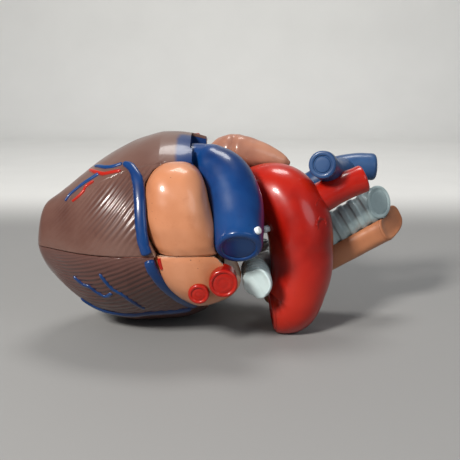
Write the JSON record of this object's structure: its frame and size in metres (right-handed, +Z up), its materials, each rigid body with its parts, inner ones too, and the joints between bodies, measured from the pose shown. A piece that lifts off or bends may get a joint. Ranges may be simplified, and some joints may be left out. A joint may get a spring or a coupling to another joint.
{
  "type": "heart anatomy model",
  "caption": "Enlarged teaching model of a human heart lying on its back, with a lift-off front wall, auricle and vessels, and the airway and oesophagus behind.",
  "frame": {"origin": "middle of the bounding box's base, on the table", "axes": "+X from the apex to the great vessels, +Y away from the side that the picture shows (to the patient's right), +Z up (to the patient's front)"},
  "size_m": [0.324, 0.1844, 0.172],
  "materials": {
    "myocardium": "semi-gloss paint on hollow PVC, fine raised fibre ridges",
    "atrium_pink": "semi-gloss paint",
    "artery_red": "gloss paint",
    "vein_blue": "gloss paint",
    "vein_navy": "gloss paint",
    "airway_pale": "semi-gloss paint",
    "oesophagus_tan": "semi-gloss paint",
    "inner_cream": "bare plastic",
    "steel": "turned"
  },
  "bodies": {
    "heart_base": {"posterior_wall": "myocardium", "left_atrium": "atrium_pink", "right_atrium": "atrium_pink", "left_upper_pulmonary_vein": "artery_red", "left_lower_pulmonary_vein": "artery_red", "right_upper_pulmonary_vein": "artery_red", "right_lower_pulmonary_vein": "artery_red", "right_pulmonary_artery": "vein_blue", "inferior_vena_cava": "vein_blue", "lower_cardiac_vein": "vein_blue", "middle_cardiac_vein": "vein_blue", "posterior_vein_branches": "vein_blue", "circumflex_artery": "artery_red", "mitral_valve": "inner_cream", "tricuspid_valve": "inner_cream", "left_papillary_muscles": "myocardium", "right_papillary_muscles": "myocardium", "left_chordae": "inner_cream", "right_chordae": "inner_cream", "rim_magnets": "steel", "stand_socket": "steel"},
    "front_wall": {"front_wall": "myocardium", "left_auricle": "atrium_pink", "upper_cardiac_vein": "vein_blue", "anterior_artery": "artery_red", "anterior_veins": "vein_blue", "right_coronary_artery": "artery_red", "front_pegs": "steel", "rim_discs": "steel", "pulmonary_valve": "inner_cream", "trunk_magnet": "steel"},
    "pulmonary_trunk": {"pulmonary_trunk": "vein_blue", "trunk_disc": "steel", "trunk_ligament_stub": "inner_cream"},
    "right_auricle": {"right_auricle": "atrium_pink", "auricle_pegs": "steel"},
    "great_vessels": {"aorta": "artery_red", "brachiocephalic_trunk": "artery_red", "left_carotid_stub": "artery_red", "left_subclavian_stub": "artery_red", "aorta_ligament_stub": "inner_cream", "aortic_valve": "inner_cream", "superior_vena_cava": "vein_navy", "left_brachiocephalic_vein": "vein_navy", "aorta_pegs": "steel"},
    "airway": {"trachea": "airway_pale", "left_bronchus": "airway_pale", "right_bronchus": "airway_pale", "oesophagus": "oesophagus_tan", "airway_peg": "steel"}
  },
  "joints": [
    {"name": "front_wall_lift", "type": "slide", "parent": "heart_base", "child": "front_wall", "axis": [0, 0, 1], "range_m": [0, 0.11]},
    {"name": "pulmonary_trunk_lift", "type": "slide", "parent": "front_wall", "child": "pulmonary_trunk", "axis": [0, 0, 1], "range_m": [0, 0.1]},
    {"name": "right_auricle_lift", "type": "slide", "parent": "heart_base", "child": "right_auricle", "axis": [0, 0, 1], "range_m": [0, 0.1]},
    {"name": "great_vessels_pull", "type": "slide", "parent": "heart_base", "child": "great_vessels", "axis": [1, 0, 0], "range_m": [0, 0.12]},
    {"name": "airway_pull", "type": "slide", "parent": "great_vessels", "child": "airway", "axis": [0, 1, 0], "range_m": [0, 0.11]}
  ]
}
